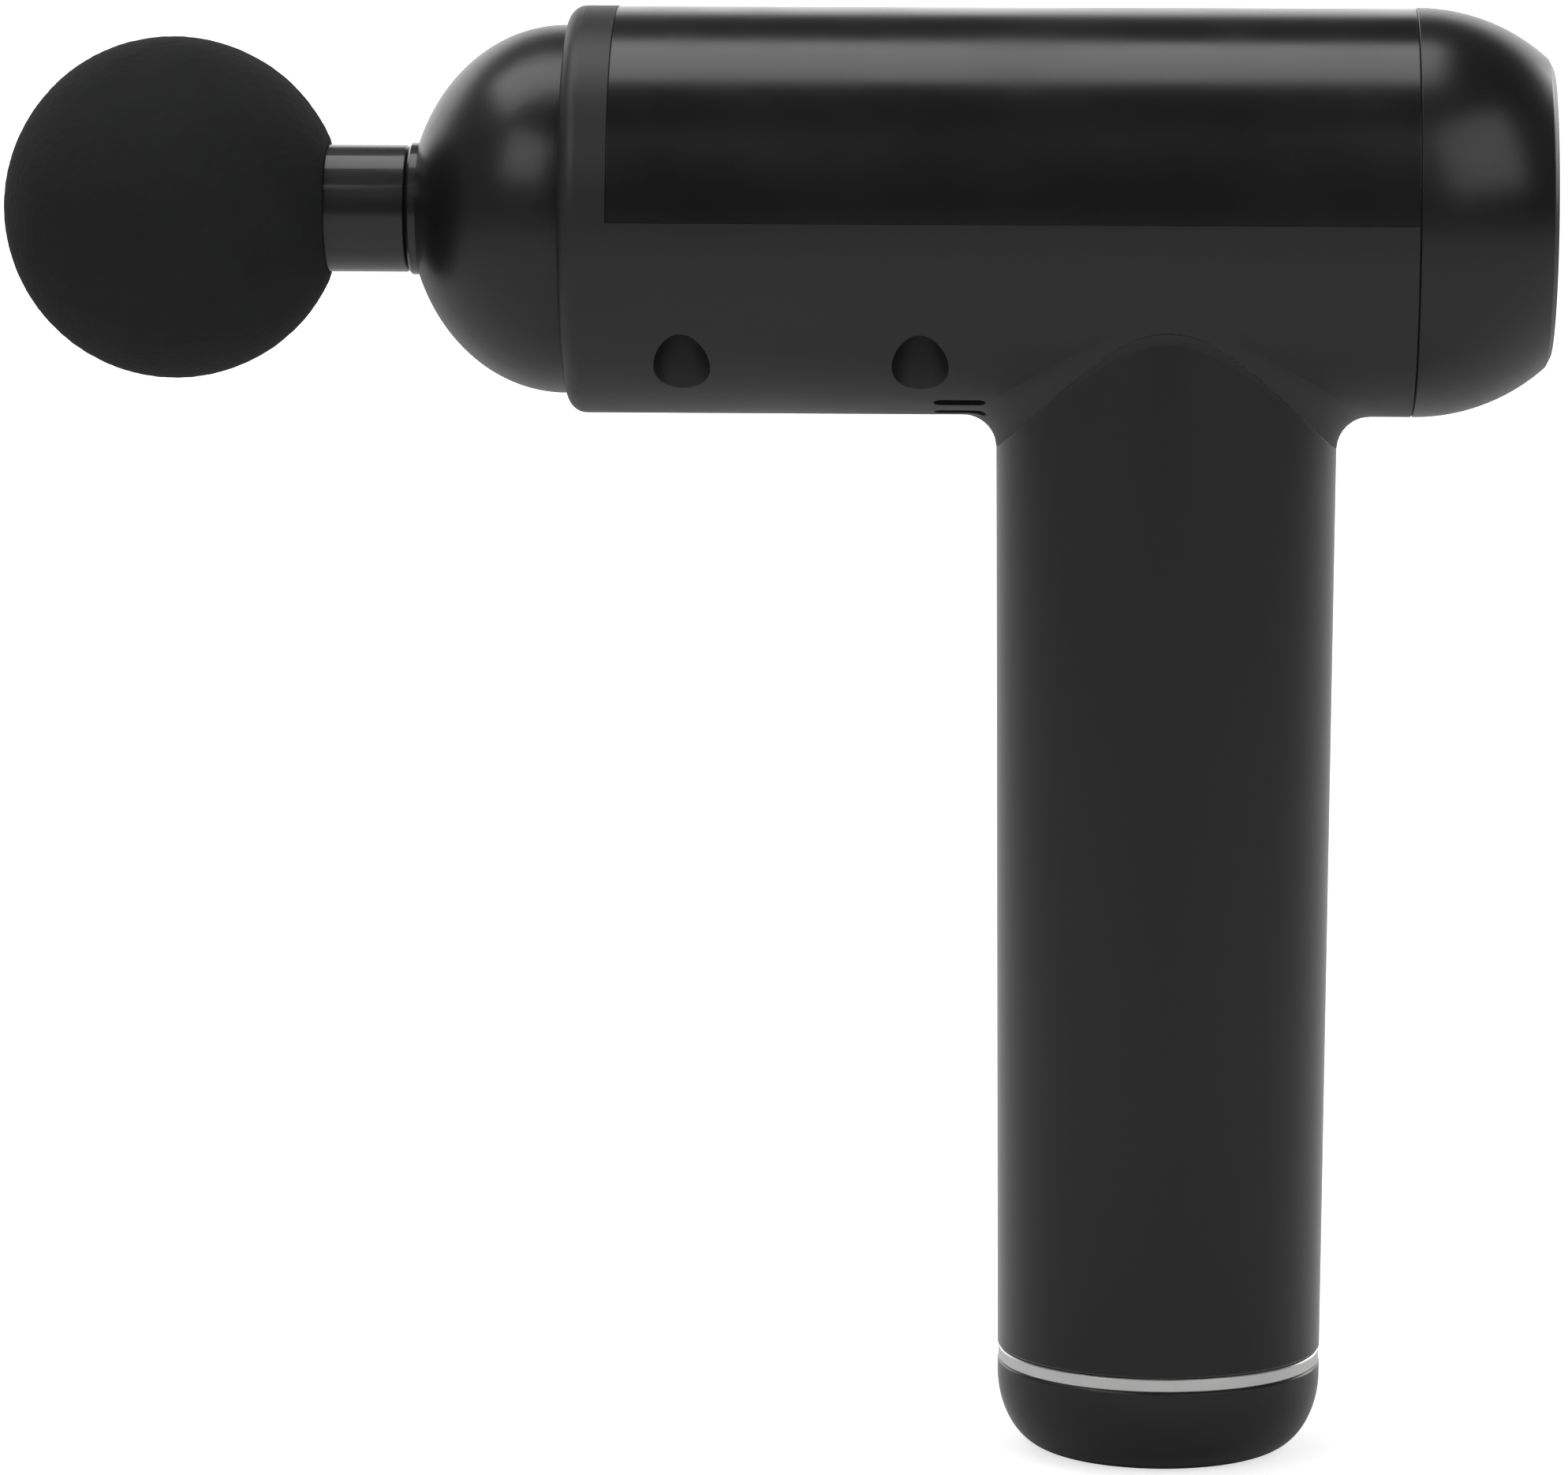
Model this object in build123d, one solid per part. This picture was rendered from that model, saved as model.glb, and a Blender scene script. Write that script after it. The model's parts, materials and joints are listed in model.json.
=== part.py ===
from build123d import *
from functools import cache
import math
import os

os.makedirs("parts", exist_ok=True)

# Percussion massage gun: a round barrel on a round upright handle, with a ball head.
# Millimetres. +Z is up, the nose points to -X, and the origin is the middle of the flat base.
# Heights called "up" are measured from the barrel's axis, radii from the axis of the piece.

# Shell
AXIS_Z = 201.8
BARREL_R = 32.65
WALL = 2.2
BARREL_BORE_R = BARREL_R - WALL
COLLAR_FRONT_X = -96.0
COLLAR_EDGE_R = 2.9
FRONT_SEAM_X = -88.2
REAR_SEAM_X = 39.1
BACK_X = 61.1
SEAM_HALF_WIDTH = 0.2
SEAM_DEPTH = 0.25
COVER_R = BARREL_R - 0.15
COVER_RIB_X = (-60.0, -20.0, 10.0)
COVER_RIB_T = 1.2
COVER_RIB_DEPTH = 1.5

# Handle
HANDLE_BASE_R = 26.18
HANDLE_TAPER = 0.00706
SADDLE_FILLET = 5.4
SLEEVE_T = 1.6
SLEEVE_GAP = 0.06
SLEEVE_LIFT = 0.2
CREASE_TOP_UP = -17.2
RING_BOTTOM_Z = 14.35
RING_TOP_Z = 16.5
RING_R = 26.15

# Screw bosses of the two barrel halves
BOSS_X = (-76.7, -39.0)
BOSS_Y = 22.9
BOSS_R = 6.4
COUNTERBORE_R = 4.5
SCREW_SEAT_UP = -8.0
SCREW_R = 1.5
SCREW_HEAD_R = 3.4
SCREW_HEAD_T = 2.4
COVER_POST_R = 5.0
COVER_POST_HOLE = 12.0

# Cooling slots under the barrel
SLOT_FRONT_X = -37.1
SLOT_REAR_X = -28.8
SLOT_WIDTH = 2.5
SLOT_ANGLES = (-25, -15, -5, 5, 15, 25)

# Nose
NOSE_CENTRE_X = -96.6
NOSE_SEMI_X = 25.3
NOSE_R = 29.5
NOSE_HOLE_R = 10.95
NOSE_HUB_R = 14.0
NOSE_HUB_BACK_X = -113.0
NOSE_MOUTH_EDGE_R = 1.0
FLANGE_FRONT_X = -90.4
FLANGE_BACK_X = -88.3
SEAL_X = (-117.5, -115.0)
SEAL_R = 12.4

# Rear cap, display and controller
CAP_ARC_X = 39.5
CAP_ARC_R = 31.0
CAP_RIM_X = 60.3
CAP_RIM_DROP = 1.6
CAP_BACK_T = 3.5
CAP_INNER_X = BACK_X - CAP_BACK_T
CAP_WINDOW_R = 12.0
LENS_R = 18.5
LENS_T = 1.2
BOARD_T = 1.6
DISPLAY_BOARD_X = 53.4
DISPLAY_BOARD_R = 16.8
DISPLAY_SCREW_PITCH_R = 14.4
CONTROLLER_X = 30.0
CONTROLLER_BACK_X = CONTROLLER_X + BOARD_T
CONTROLLER_HALF_Y = 21.0
CONTROLLER_UP = (-13.0, 20.0)
CONTROLLER_POSTS = [(y, up) for y in (-18.5, 18.5) for up in (-10.5, 10.5)]
BOARD_POST_R = 2.2
BOARD_SCREW_R = 0.8
BOARD_HOLE_R = 1.0
HEAT_SINK_HALF_Y = 12.0
HEAT_SINK_UP = (-2.0, 16.0)
HEAT_SINK_PLATE_T = 2.0
FIN_COUNT = 5
FIN_PITCH = 5.4
FIN_T = 2.4
FIN_HEIGHT = 6.0
CAPACITOR_R = 5.0
CAPACITOR_LENGTH = 12.0
CAPACITOR_PLACE = (8.0, 13.0)
RIBBON_HALF_Y = 4.0
RIBBON_UP = (-12.4, -11.6)

# Drive: an outer-rotor motor turns a crank, whose rod drives the plunger
STROKE = 10.0
CRANK_X = -4.0
THROW = STROKE / 2
ROD_LENGTH = 38.0
PIN_X = CRANK_X + THROW
WRIST_X = PIN_X - ROD_LENGTH
PLATE_TOP = -11.5
PLATE_BOTTOM = -14.0
PLATE_X = (-84.0, 24.0)
PLATE_HALF_Y = 14.5
ARM_HALF_T = 5.0
LEAD_SLOT_X = (16.5, 23.0)
LEAD_SLOT_HALF_Y = 8.0
FRAME_FEET = [(x, y) for x in (-58.0, 20.0) for y in (-20.0, 20.0)]
FOOT_R = 6.6
DAMPER_R = 4.5
DAMPER_WAIST_R = 3.5
DAMPER_BOTTOM = PLATE_BOTTOM - 2.0
DAMPER_TOP = PLATE_TOP + 1.5
GUIDE_R = 15.5
GUIDE_BORE_R = 12.5
GUIDE_X = (-112.5, -68.0)
GUIDE_WINDOW_X = (-104.0, -90.0)
GUIDE_WINDOW = 8.0
FRONT_BUSH_X = (-112.0, -100.0)
REAR_BUSH_X = (-84.0, -73.0)
SHAFT_R = 2.5
RUNNING = 0.03
MOTOR_SCREW_PITCH_R = 9.2
MOTOR_FLANGE_UP = -16.0
MOTOR_FLANGE_R = 12.0
MOTOR_TUBE_R = 6.0
MOTOR_TUBE_BORE_R = 3.2
MOTOR_TUBE_UP = -34.0
BEARING_R = 4.5
BEARING_T = 3.0
STATOR_UP = (-30.0, -19.0)
STATOR_R = 13.9
STATOR_TEETH = 9
TOOTH_HALF_T = 1.3
MAGNET_UP = (-31.0, -19.0)
MAGNET_COUNT = 12
MAGNET_INNER_R = 14.6
BELL_R = 17.5
BELL_BORE_R = 16.2
BELL_UP = (-36.5, -18.5)
WHEEL_R = 9.5
WHEEL_UP = (-10.5, -5.0)
WEIGHT_R = 15.0
PIN_ROOT_R = 2.0
PIN_R = 3.0
CLIP_GROOVE_R = 2.2
BIG_END_R = 6.5
BIG_END_OUTER_R = 8.8
SMALL_END_R = 3.5
SMALL_END_OUTER_R = 5.6
ROD_HALF_T = 3.0
SHANK_HALF_Y = 3.6
SHANK_HALF_T = 2.4
PIN_SHOULDER_R = 4.0
PIN_SHOULDER_UP = -3.3
JOURNAL_TOP_UP = 3.2
PIN_TOP_UP = 4.6
WRIST_R = 2.4

# Plunger and head
PLUNGER_R = 10.6
PLUNGER_FRONT_X = -121.7
PLUNGER_BACK_X = -62.0
SOCKET_R = 6.5
SOCKET_BACK_X = -101.0
FORK_HALF_Y = 5.5
FORK_HALF_T = 8.0
FORK_SLOT_HALF_T = 3.3
PLUNGER_BORE_R = 7.5
STEM_FIT = 0.06
NECK_R = 10.2
BALL_R = 27.54
BALL_X = -158.9
NECK_FRONT_X = BALL_X + 24.0
STEM_R = 7.0
STEM_FLANGE_R = 12.0
STEM_FLANGE_X = (BALL_X - 10.0, BALL_X - 8.0)
O_RING_X = (-115.5, -107.0)
O_RING_HALF_T = 0.8
O_RING_BORE_R = SOCKET_R - 1.5

# Battery
CELL_R = 9.15
CELL_LENGTH = 65.0
CELL_FLOORS_Z = (21.0, 88.6)
STRIP_T = 0.4
STRIP_R = 4.0
CELL_SPACING = 19.1
CELL_PITCH_R = CELL_SPACING / math.sqrt(3)
CELL_ANGLES = (90, 210, 330)
BATTERY_BOARD_Z = 159.0
BATTERY_BOARD_R = 20.0
HOLDER_LOWER_Z = (18.0, 25.0)
HOLDER_MIDDLE_Z = (83.5, 91.1)
HOLDER_UPPER_Z = (151.0, 157.0)
HOLDER_POST_R = 2.0
HOLDER_POST_PITCH_R = 17.0
HOLDER_POST_ANGLES = (0, 120, 240)

# Base
BASE_FLAT_R = 17.8
BASE_CORNER_Z = 12.4
BASE_FLOOR = 2.6
BASE_LIP_R = 22.35
BASE_LIP_BORE_R = 20.4
BASE_SCREW_X = 14.5
BASE_SCREW_R = 1.3
BASE_SCREW_SEAT_Z = 2.4
BASE_POST_R = 3.2
JACK_Y = 8.5
JACK_R = 5.4
JACK_TOP_Z = 13.0
JACK_BORE_R = 2.8
JACK_BORE_TOP_Z = 10.0
JACK_PIN_R = 1.0
JACK_TAG_X = 1.6
LEAD_X = 15.2
SWITCH_Y = -8.2
SWITCH_HALF_X = 6.3
SWITCH_HALF_Y = 4.1
SWITCH_RIM = 1.1
SWITCH_RIM_TOP_Z = 1.4
ROCKER_PIVOT_Z = 3.4
ROCKER_PIVOT_R = 0.9
ROCKER_TILT = 7.0
ROCKER_HALF_Y = 3.2

# Half the size of a block that reaches past the whole barrel, and how far a cutter runs past a face
PAST = 45.0
CLEAR = 1.0

CENTRED = (Align.CENTER, Align.CENTER, Align.MIN)
BARREL_AXIS = Axis((0, 0, AXIS_Z), (1, 0, 0))
BARREL_PLANE = Plane(origin=(0, 0, AXIS_Z), x_dir=(1, 0, 0), z_dir=(0, -1, 0))


# Helpers

def x_rod(radius, x0, x1, y=0.0, up=0.0):
    """Cylinder along X."""
    return Plane(origin=(x0, y, AXIS_Z + up), z_dir=(1, 0, 0)) * Cylinder(radius, x1 - x0, align=CENTRED)


def y_rod(radius, y0, y1, x, z):
    """Cylinder along Y."""
    return Plane(origin=(x, y0, z), z_dir=(0, 1, 0)) * Cylinder(radius, y1 - y0, align=CENTRED)


def z_rod(radius, z0, z1, x=0.0, y=0.0):
    """Cylinder along Z."""
    return Pos(x, y, z0) * Cylinder(radius, z1 - z0, align=CENTRED)


def up_rod(radius, up0, up1, x=0.0, y=0.0):
    """Cylinder along Z with its heights given from the barrel's axis."""
    return z_rod(radius, AXIS_Z + up0, AXIS_Z + up1, x, y)


def block(x0, x1, y0, y1, z0, z1):
    """Box from its lowest to its highest corner."""
    corner = (Align.MIN, Align.MIN, Align.MIN)
    return Pos(x0, y0, z0) * Box(x1 - x0, y1 - y0, z1 - z0, align=corner)


def up_block(x0, x1, y0, y1, up0, up1):
    return block(x0, x1, y0, y1, AXIS_Z + up0, AXIS_Z + up1)


def x_ring(outer, inner, x0, x1):
    return x_rod(outer, x0, x1) - x_rod(inner, x0 - CLEAR, x1 + CLEAR)


def z_ring(outer, inner, z0, z1, x=0.0, y=0.0):
    return z_rod(outer, z0, z1, x, y) - z_rod(inner, z0 - CLEAR, z1 + CLEAR, x, y)


def up_ring(outer, inner, up0, up1, x=0.0, y=0.0):
    return z_ring(outer, inner, AXIS_Z + up0, AXIS_Z + up1, x, y)


def turned(outline):
    """Solid turned about the barrel's axis from a closed outline of x and radius."""
    return revolve(BARREL_PLANE * make_face(outline), BARREL_AXIS)


def wire(points, radius, bends):
    """Round lead along straight runs joined by tangent arcs."""
    path = FilletPolyline(*points, radius=bends)
    section = Plane(origin=path @ 0, z_dir=path % 0) * Circle(radius)
    return sweep(section, path=path)


def hexagon(radius, x, y, z, depth):
    """Hexagonal prism standing on z, for nuts and socket recesses."""
    return Pos(x, y, z) * extrude(RegularPolygon(radius, 6), depth)


def polar(radius, angle):
    return radius * math.cos(math.radians(angle)), radius * math.sin(math.radians(angle))


def handle_radius(z):
    return HANDLE_BASE_R + HANDLE_TAPER * z


def handle_cone(offset, z0, z1):
    """Tapered round of the handle, grown or shrunk by offset."""
    lower = handle_radius(z0) + offset
    upper = handle_radius(z1) + offset
    return Pos(0, 0, z0) * Cone(lower, upper, z1 - z0, align=CENTRED)


def group(pieces):
    return Compound(children=list(pieces))


# Barrel and handle

@cache
def outer_housing():
    """Barrel and handle as one round body, with a filleted saddle and a softened collar."""
    body = x_rod(BARREL_R, COLLAR_FRONT_X, REAR_SEAM_X) + handle_cone(0, RING_BOTTOM_Z, AXIS_Z)
    plain = (GeomType.CIRCLE, GeomType.LINE)
    saddle = body.edges().filter_by(lambda e: e.geom_type not in plain)
    body = fillet(saddle, SADDLE_FILLET)
    collar_edge = body.edges().filter_by(GeomType.CIRCLE).sort_by(Axis.X)[0]
    return fillet(collar_edge, COLLAR_EDGE_R)


def crease_up(x):
    """Height of the arched line where the soft sleeve ends: it is lowest at the handle's front and back."""
    side = BARREL_R + SADDLE_FILLET
    share = (x / handle_radius(AXIS_Z)) ** 2
    return -math.sqrt(CREASE_TOP_UP**2 + (side**2 - CREASE_TOP_UP**2) * share)


def above_crease(gap):
    """Everything above the arched line, lowered by gap."""
    reach = 36
    arch = Spline(*((x, crease_up(x) - gap) for x in range(-reach, reach + 1, 4)))
    sides = Polyline(arch @ 1, (reach, PAST), (-reach, PAST), arch @ 0)
    return extrude(BARREL_PLANE * make_face(arch + sides), PAST, both=True)


def sleeve_space(bottom_z, gap):
    """Room of the soft sleeve around the handle's core, up to the crease."""
    around = handle_cone(3, bottom_z, AXIS_Z) - handle_cone(-SLEEVE_T, bottom_z, AXIS_Z)
    return around - above_crease(gap)


def ring_groove(x):
    """V groove around the barrel."""
    outer = BARREL_R + CLEAR
    half = SEAM_HALF_WIDTH * (SEAM_DEPTH + CLEAR) / SEAM_DEPTH
    return turned(Polyline((x - half, outer), (x, BARREL_R - SEAM_DEPTH), (x + half, outer), close=True))


def cooling_slots():
    """Round-ended slots cut towards the barrel's axis."""
    slots = []
    middle = (SLOT_FRONT_X + SLOT_REAR_X) / 2
    start_r = BARREL_R + SADDLE_FILLET + CLEAR
    for angle in SLOT_ANGLES:
        inward = Vector(0, -math.sin(math.radians(angle)), math.cos(math.radians(angle)))
        start = Vector(middle, 0, AXIS_Z) - inward * start_r
        outline = SlotOverall(SLOT_REAR_X - SLOT_FRONT_X, SLOT_WIDTH)
        face = Plane(origin=start, x_dir=(1, 0, 0), z_dir=inward) * outline
        slots.append(extrude(face, start_r - BARREL_BORE_R + 4.5))
    return slots


def boss_places():
    return [(x, side * BOSS_Y) for x in BOSS_X for side in (-1, 1)]


def upper_half():
    """Everything above the barrel's axis, between the front and rear seams."""
    return up_block(FRONT_SEAM_X, REAR_SEAM_X + CLEAR, -PAST, PAST, 0, PAST)


def inside_wall():
    """Inside of the barrel and half of its wall, where bosses and posts may reach."""
    return x_rod(BARREL_R - WALL / 2, FRONT_SEAM_X, REAR_SEAM_X)


def lower_housing():
    """Lower half of the barrel with its front collar, and the core of the handle."""
    handle_bore = handle_cone(-SLEEVE_T - WALL, RING_BOTTOM_Z - CLEAR, AXIS_Z)
    body = outer_housing() - upper_half() - sleeve_space(RING_TOP_Z, 0)
    core_r = handle_radius(RING_BOTTOM_Z) - SLEEVE_T
    body -= z_ring(PAST, core_r, RING_BOTTOM_Z - CLEAR, RING_TOP_Z)
    body -= x_rod(NOSE_R + 0.1, COLLAR_FRONT_X - CLEAR, FLANGE_FRONT_X)
    body -= x_rod(BARREL_BORE_R, FLANGE_FRONT_X, REAR_SEAM_X + CLEAR)
    body -= handle_bore
    for x, y in FRAME_FEET:
        post = up_rod(DAMPER_R, -BARREL_R, DAMPER_BOTTOM, x, y) & inside_wall()
        body += post - handle_bore
        body -= up_rod(SCREW_R, PLATE_BOTTOM - 9, 0, x, y)
    for x, y in boss_places():
        body += up_rod(BOSS_R, -BARREL_R, 0, x, y) & inside_wall()
        body -= up_rod(COUNTERBORE_R, -PAST, SCREW_SEAT_UP, x, y)
        body -= up_rod(SCREW_R, SCREW_SEAT_UP - CLEAR, CLEAR, x, y)
    for slot in cooling_slots():
        body -= slot
    return body - ring_groove(REAR_SEAM_X) - (ring_groove(FRONT_SEAM_X) & upper_half())


def upper_cover():
    shell = x_ring(COVER_R, BARREL_BORE_R, FRONT_SEAM_X, REAR_SEAM_X)
    for x in COVER_RIB_X:
        half = COVER_RIB_T / 2
        shell += x_ring(BARREL_R - WALL / 2, BARREL_BORE_R - COVER_RIB_DEPTH, x - half, x + half)
    cover = shell & upper_half()
    for x, y in boss_places():
        cover += up_rod(COVER_POST_R, 0, BARREL_R, x, y) & inside_wall()
        cover -= up_rod(SCREW_R, -CLEAR, COVER_POST_HOLE, x, y)
    return cover - ring_groove(REAR_SEAM_X) - ring_groove(FRONT_SEAM_X)


def housing_screws():
    """Socket-head screws that hold the cover's posts to the lower bosses."""
    head_up = SCREW_SEAT_UP - SCREW_HEAD_T
    screws = []
    for x, y in boss_places():
        screw = up_rod(SCREW_R, SCREW_SEAT_UP, COVER_POST_HOLE - 1, x, y)
        screw += up_rod(SCREW_HEAD_R, head_up, SCREW_SEAT_UP, x, y)
        screws.append(screw - hexagon(1.6, x, y, AXIS_Z + head_up - 0.1, 1.5))
    return group(screws)


def grip_sleeve():
    bottom_z = RING_TOP_Z + SLEEVE_LIFT
    sleeve = outer_housing() & sleeve_space(bottom_z, SLEEVE_GAP)
    lower_rim = sleeve.edges().filter_by(GeomType.CIRCLE).sort_by(lambda e: (e.center().Z, -e.radius))[0]
    return chamfer(lower_rim, 0.3)


def trim_ring():
    ring = z_ring(RING_R, handle_radius(RING_BOTTOM_Z) - SLEEVE_T, RING_BOTTOM_Z, RING_TOP_Z)
    outer = ring.edges().filter_by(lambda e: e.geom_type == GeomType.CIRCLE and e.radius > RING_R - 0.1)
    return chamfer(outer, 0.2)


# Nose

def nose_outline(inset):
    """Quarter ellipse and short skirt of the nose, drawn in by inset."""
    semi_x = NOSE_SEMI_X - inset
    radius = NOSE_R - inset
    tip_x = NOSE_CENTRE_X - semi_x
    back_x = FLANGE_BACK_X + inset
    arc = EllipticalCenterArc((NOSE_CENTRE_X, 0), semi_x, radius, start_angle=90, arc_size=90)
    return arc + Polyline((tip_x, 0), (back_x, 0), (back_x, radius), (NOSE_CENTRE_X, radius))


def nose_dome():
    """Hollow nose with a flange caught behind the collar and a hub that holds the wiper ring."""
    tip_x = NOSE_CENTRE_X - NOSE_SEMI_X
    outer = turned(nose_outline(0))
    dome = outer - turned(nose_outline(WALL))
    dome += x_ring(BARREL_BORE_R - 0.1, NOSE_R - WALL, FLANGE_FRONT_X, FLANGE_BACK_X)
    dome += x_rod(NOSE_HUB_R, tip_x, NOSE_HUB_BACK_X) & outer
    dome -= x_rod(NOSE_HOLE_R, tip_x - CLEAR, NOSE_HUB_BACK_X + CLEAR)
    dome -= x_rod(SEAL_R, *SEAL_X)
    mouth = dome.edges().filter_by(GeomType.CIRCLE).sort_by(Axis.X)[0]
    return fillet(mouth, NOSE_MOUTH_EDGE_R)


def nose_seal():
    """Wiper ring with a groove behind its lip."""
    seal = x_ring(SEAL_R, PLUNGER_R + 0.06, *SEAL_X)
    return seal - x_ring(SEAL_R - 0.4, PLUNGER_R + 0.9, SEAL_X[1] - 1.2, SEAL_X[1] + CLEAR)


# Rear cap, display and controller

def display_screw_places():
    return [polar(DISPLAY_SCREW_PITCH_R, angle) for angle in (90, 210, 330)]


def cap_side(radius, end_x):
    """Side of the rear cap: it starts along the barrel and curves in to end_x."""
    turn = math.asin((end_x - CAP_ARC_X) / radius)
    centre_up = BARREL_R - CAP_ARC_R
    points = []
    for angle in (0, turn / 2, turn):
        points.append((CAP_ARC_X + radius * math.sin(angle), centre_up + radius * math.cos(angle)))
    return ThreePointArc(*points)


def cap_outer():
    side = cap_side(CAP_ARC_R, CAP_RIM_X)
    rim = side @ 1
    front = Polyline((BACK_X, 0), (REAR_SEAM_X, 0), (REAR_SEAM_X, BARREL_R), side @ 0)
    back = Polyline(rim, (BACK_X, rim.Y - CAP_RIM_DROP), (BACK_X, 0))
    solid = turned(front + side + back)
    rims = solid.edges().filter_by(GeomType.CIRCLE).sort_by(Axis.X)[-2:]
    return fillet(rims, 0.7)


def cap_inner():
    side = cap_side(CAP_ARC_R - WALL, CAP_INNER_X)
    open_x = REAR_SEAM_X - CLEAR
    front = Polyline((CAP_INNER_X, 0), (open_x, 0), (open_x, BARREL_BORE_R), side @ 0)
    return turned(front + side + Polyline(side @ 1, (CAP_INNER_X, 0)))


def rear_cap():
    """Shell with a spigot into the barrel, posts for both boards, and a recess and window for the display."""
    cap = cap_outer() - cap_inner()
    cap += x_ring(BARREL_BORE_R - 0.1, BARREL_BORE_R - 1.9, REAR_SEAM_X - 3, REAR_SEAM_X + 3.5)
    for y, up in CONTROLLER_POSTS:
        cap += x_rod(BOARD_POST_R, CONTROLLER_BACK_X, CAP_INNER_X + 0.5, y, up)
        cap -= x_rod(BOARD_SCREW_R, CONTROLLER_X, CONTROLLER_X + 8, y, up)
    for y, up in display_screw_places():
        cap += x_rod(BOARD_POST_R, DISPLAY_BOARD_X + BOARD_T, CAP_INNER_X + 0.5, y, up)
        cap -= x_rod(BOARD_SCREW_R, DISPLAY_BOARD_X, CAP_INNER_X + 1, y, up)
    cap -= x_rod(LENS_R, BACK_X - LENS_T, BACK_X + CLEAR)
    cap -= x_rod(CAP_WINDOW_R, CAP_INNER_X - CLEAR, BACK_X)
    return cap - ring_groove(REAR_SEAM_X)


def display_lens():
    lens = x_rod(LENS_R - 0.05, BACK_X - LENS_T, BACK_X)
    edge = lens.edges().filter_by(GeomType.CIRCLE).sort_by(Axis.X)[-1]
    return chamfer(edge, 0.2)


def display_module():
    return x_rod(CAP_WINDOW_R - 0.5, DISPLAY_BOARD_X + BOARD_T, BACK_X - LENS_T)


def display_board():
    board = x_rod(DISPLAY_BOARD_R, DISPLAY_BOARD_X, DISPLAY_BOARD_X + BOARD_T)
    for y, up in display_screw_places():
        board -= x_rod(BOARD_HOLE_R, DISPLAY_BOARD_X - CLEAR, DISPLAY_BOARD_X + BOARD_T + CLEAR, y, up)
    return board


def board_screw(seat_x, tip_x, y, up):
    """Pan-head screw along X, with a cross recess."""
    face_x = seat_x - 1.2
    screw = x_rod(BOARD_SCREW_R, seat_x, tip_x, y, up) + x_rod(1.7, face_x, seat_x, y, up)
    for half_y, half_up in ((1.1, 0.25), (0.25, 1.1)):
        screw -= up_block(face_x - 0.1, face_x + 0.6, y - half_y, y + half_y, up - half_up, up + half_up)
    return screw


def display_screws():
    return group(board_screw(DISPLAY_BOARD_X, CAP_INNER_X + 0.4, y, up) for y, up in display_screw_places())


def display_ribbon():
    """Flat cable between the controller and the display board."""
    return up_block(CONTROLLER_BACK_X, DISPLAY_BOARD_X, -RIBBON_HALF_Y, RIBBON_HALF_Y, *RIBBON_UP)


def controller_board():
    board = up_block(CONTROLLER_X, CONTROLLER_BACK_X, -CONTROLLER_HALF_Y, CONTROLLER_HALF_Y, *CONTROLLER_UP)
    for y, up in CONTROLLER_POSTS:
        board -= x_rod(BOARD_HOLE_R, CONTROLLER_X - CLEAR, CONTROLLER_BACK_X + CLEAR, y, up)
    return board


def heat_sink():
    """Base plate with upright fins, on the back of the controller."""
    plate_back = CONTROLLER_BACK_X + HEAT_SINK_PLATE_T
    sink = up_block(CONTROLLER_BACK_X, plate_back, -HEAT_SINK_HALF_Y, HEAT_SINK_HALF_Y, *HEAT_SINK_UP)
    for i in range(FIN_COUNT):
        y = i * FIN_PITCH - HEAT_SINK_HALF_Y
        sink += up_block(plate_back, plate_back + FIN_HEIGHT, y, y + FIN_T, *HEAT_SINK_UP)
    return sink


def capacitor():
    can = x_rod(CAPACITOR_R, CONTROLLER_X - CAPACITOR_LENGTH, CONTROLLER_X, *CAPACITOR_PLACE)
    rim = can.edges().filter_by(GeomType.CIRCLE).sort_by(Axis.X)[0]
    return fillet(rim, 0.8)


def controller_screws():
    return group(board_screw(CONTROLLER_X, CONTROLLER_X + 7.5, y, up) for y, up in CONTROLLER_POSTS)


# Base

def base_outline():
    """Flat foot, elliptic corner and short upright side, as radius and height."""
    top_r = handle_radius(RING_BOTTOM_Z)
    flat = Line((0, 0), (BASE_FLAT_R, 0))
    centre = (BASE_FLAT_R, BASE_CORNER_Z)
    corner = EllipticalCenterArc(centre, top_r - BASE_FLAT_R, BASE_CORNER_Z, start_angle=270, arc_size=90)
    side = Polyline((top_r, BASE_CORNER_Z), (top_r, RING_BOTTOM_Z), (0, RING_BOTTOM_Z), (0, 0))
    return flat + corner + side


def base_hollow():
    top_z = RING_BOTTOM_Z + CLEAR
    points = [(0, BASE_FLOOR), (17, BASE_FLOOR), (20.6, 6), (22.3, 11), (22.3, top_z), (0, top_z)]
    return revolve(Plane.XZ * make_face(Polyline(*points, close=True)), Axis.Z)


def switch_block(grow, z0, z1):
    """Block of the switch's outline, grown all round."""
    half_x = SWITCH_HALF_X + grow
    half_y = SWITCH_HALF_Y + grow
    return block(-half_x, half_x, SWITCH_Y - half_y, SWITCH_Y + half_y, z0, z1)


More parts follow.
